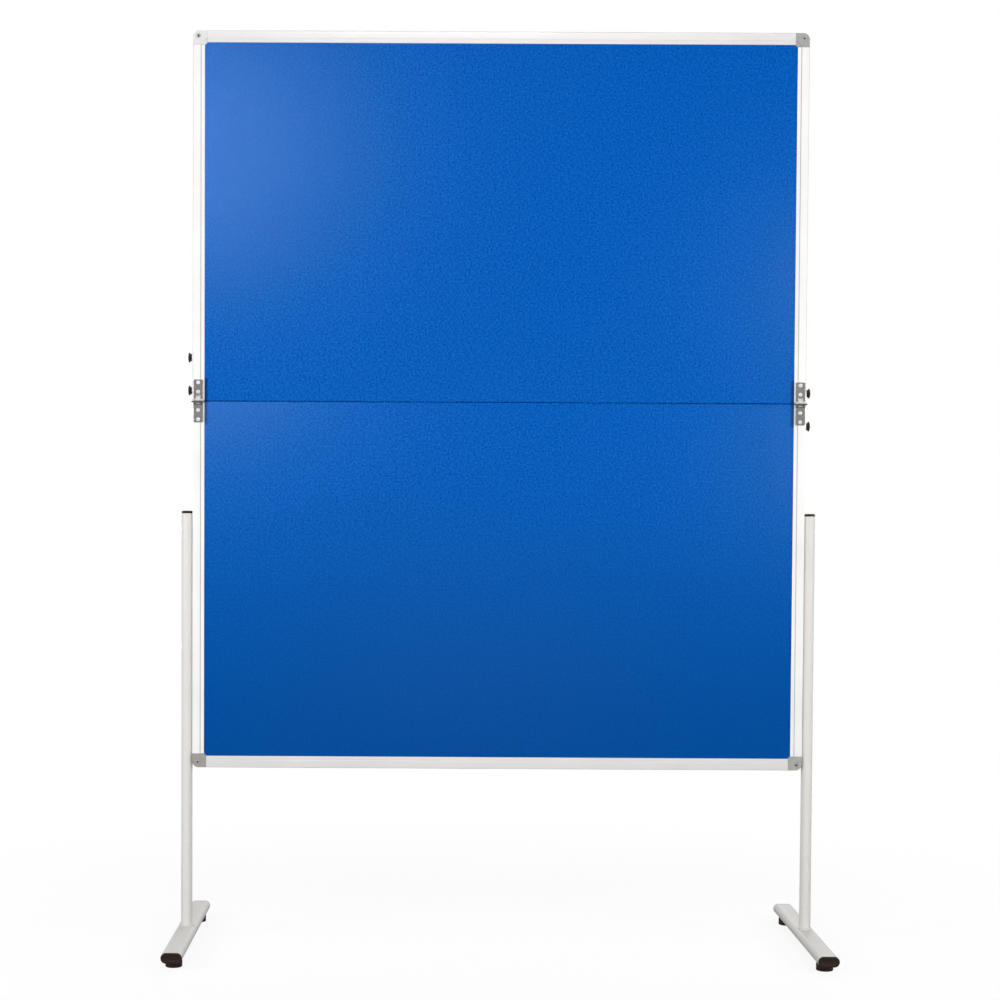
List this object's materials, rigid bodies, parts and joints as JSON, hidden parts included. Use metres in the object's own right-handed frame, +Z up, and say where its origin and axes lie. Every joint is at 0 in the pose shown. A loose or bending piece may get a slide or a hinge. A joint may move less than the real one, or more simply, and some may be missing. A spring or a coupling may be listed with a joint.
{
  "type": "folding mobile pinboard",
  "caption": "Free-standing felt pinboard in a slim aluminium frame that folds in half across its middle, on round legs with flat oval feet and levelling glides.",
  "frame": {"origin": "on the floor, below the middle of the board", "axes": "+Z up, +X to the right seen from the front, +Y to the back; the hinges are on the front, at -Y"},
  "size_m": [1.2628, 0.5, 1.79],
  "materials": {
    "core": "soft fibre board",
    "felt": "short needle felt",
    "aluminium": "silver anodised, satin",
    "corner": "moulded, matt",
    "nickel": "nickel plated",
    "zinc": "zinc plated",
    "steel": "light grey powder coat",
    "black": "moulded, half matt"
  },
  "bodies": {
    "lower_panel": {"lower_core": "core", "lower_felt": "felt", "lower_left_stile": "aluminium", "lower_right_stile": "aluminium", "bottom_rail": "aluminium", "bottom_left_corner": "corner", "bottom_right_corner": "corner", "bottom_left_corner_screw": "zinc", "bottom_right_corner_screw": "zinc", "lower_left_hinge_leaf": "nickel", "lower_right_hinge_leaf": "nickel", "left_hinge_pin": "nickel", "right_hinge_pin": "nickel", "lower_left_near_rivet": "zinc", "lower_left_far_rivet": "zinc", "lower_right_near_rivet": "zinc", "lower_right_far_rivet": "zinc"},
    "upper_panel": {"upper_core": "core", "upper_felt": "felt", "upper_left_stile": "aluminium", "upper_right_stile": "aluminium", "top_rail": "aluminium", "top_left_corner": "corner", "top_right_corner": "corner", "top_left_corner_screw": "zinc", "top_right_corner_screw": "zinc", "upper_left_hinge_leaf": "nickel", "upper_right_hinge_leaf": "nickel", "upper_left_near_rivet": "zinc", "upper_left_far_rivet": "zinc", "upper_right_near_rivet": "zinc", "upper_right_far_rivet": "zinc", "left_pivot_nut": "zinc", "right_pivot_nut": "zinc"},
    "left_link": {"left_lock_link": "zinc"},
    "right_link": {"right_lock_link": "zinc"},
    "left_pivot_thumb_knob": {"left_pivot_knob": "black"},
    "right_pivot_thumb_knob": {"right_pivot_knob": "black"},
    "left_end_thumb_knob": {"left_end_knob": "black"},
    "right_end_thumb_knob": {"right_end_knob": "black"},
    "left_leg": {"left_leg_tube": "steel", "left_leg_cap": "black", "left_foot_tube": "steel", "left_front_foot_cap": "black", "left_rear_foot_cap": "black", "left_upper_leg_bolt": "zinc", "left_lower_leg_bolt": "zinc", "left_leg_nut_bar": "zinc"},
    "right_leg": {"right_leg_tube": "steel", "right_leg_cap": "black", "right_foot_tube": "steel", "right_front_foot_cap": "black", "right_rear_foot_cap": "black", "right_upper_leg_bolt": "zinc", "right_lower_leg_bolt": "zinc", "right_leg_nut_bar": "zinc"},
    "left_front_foot_glide": {"left_front_glide": "black"},
    "left_rear_foot_glide": {"left_rear_glide": "black"},
    "right_front_foot_glide": {"right_front_glide": "black"},
    "right_rear_foot_glide": {"right_rear_glide": "black"}
  },
  "joints": [
    {"name": "board_fold", "type": "hinge", "parent": "lower_panel", "child": "upper_panel", "pos_m": [0, -0.01425, 1.07], "axis": [1, 0, 0], "range_deg": [0, 180]},
    {"name": "left_link_swing", "type": "hinge", "parent": "upper_panel", "child": "left_link", "pos_m": [-0.6, 0, 1.0907], "axis": [-1, 0, 0], "range_deg": [0, 180]},
    {"name": "right_link_swing", "type": "hinge", "parent": "upper_panel", "child": "right_link", "pos_m": [0.6, 0, 1.0907], "axis": [1, 0, 0], "range_deg": [0, 180]},
    {"name": "left_pivot_knob_turn", "type": "hinge", "parent": "upper_panel", "child": "left_pivot_thumb_knob", "pos_m": [-0.6, 0, 1.0907], "axis": [-1, 0, 0], "continuous": true},
    {"name": "right_pivot_knob_turn", "type": "hinge", "parent": "upper_panel", "child": "right_pivot_thumb_knob", "pos_m": [0.6, 0, 1.0907], "axis": [1, 0, 0], "continuous": true},
    {"name": "left_end_knob_turn", "type": "hinge", "parent": "left_link", "child": "left_end_thumb_knob", "pos_m": [-0.6, 0, 1.1552], "axis": [-1, 0, 0], "continuous": true},
    {"name": "right_end_knob_turn", "type": "hinge", "parent": "right_link", "child": "right_end_thumb_knob", "pos_m": [0.6, 0, 1.0262], "axis": [1, 0, 0], "continuous": true},
    {"name": "left_leg_slide", "type": "slide", "parent": "lower_panel", "child": "left_leg", "axis": [0, 0, -1], "range_m": [-0.12, 0.2]},
    {"name": "right_leg_slide", "type": "slide", "parent": "lower_panel", "child": "right_leg", "axis": [0, 0, -1], "range_m": [-0.12, 0.2]},
    {"name": "left_front_glide_travel", "type": "slide", "parent": "left_leg", "child": "left_front_foot_glide", "axis": [0, 0, -1], "range_m": [0, 0.008]},
    {"name": "left_rear_glide_travel", "type": "slide", "parent": "left_leg", "child": "left_rear_foot_glide", "axis": [0, 0, -1], "range_m": [0, 0.008]},
    {"name": "right_front_glide_travel", "type": "slide", "parent": "right_leg", "child": "right_front_foot_glide", "axis": [0, 0, -1], "range_m": [0, 0.008]},
    {"name": "right_rear_glide_travel", "type": "slide", "parent": "right_leg", "child": "right_rear_foot_glide", "axis": [0, 0, -1], "range_m": [0, 0.008]}
  ]
}
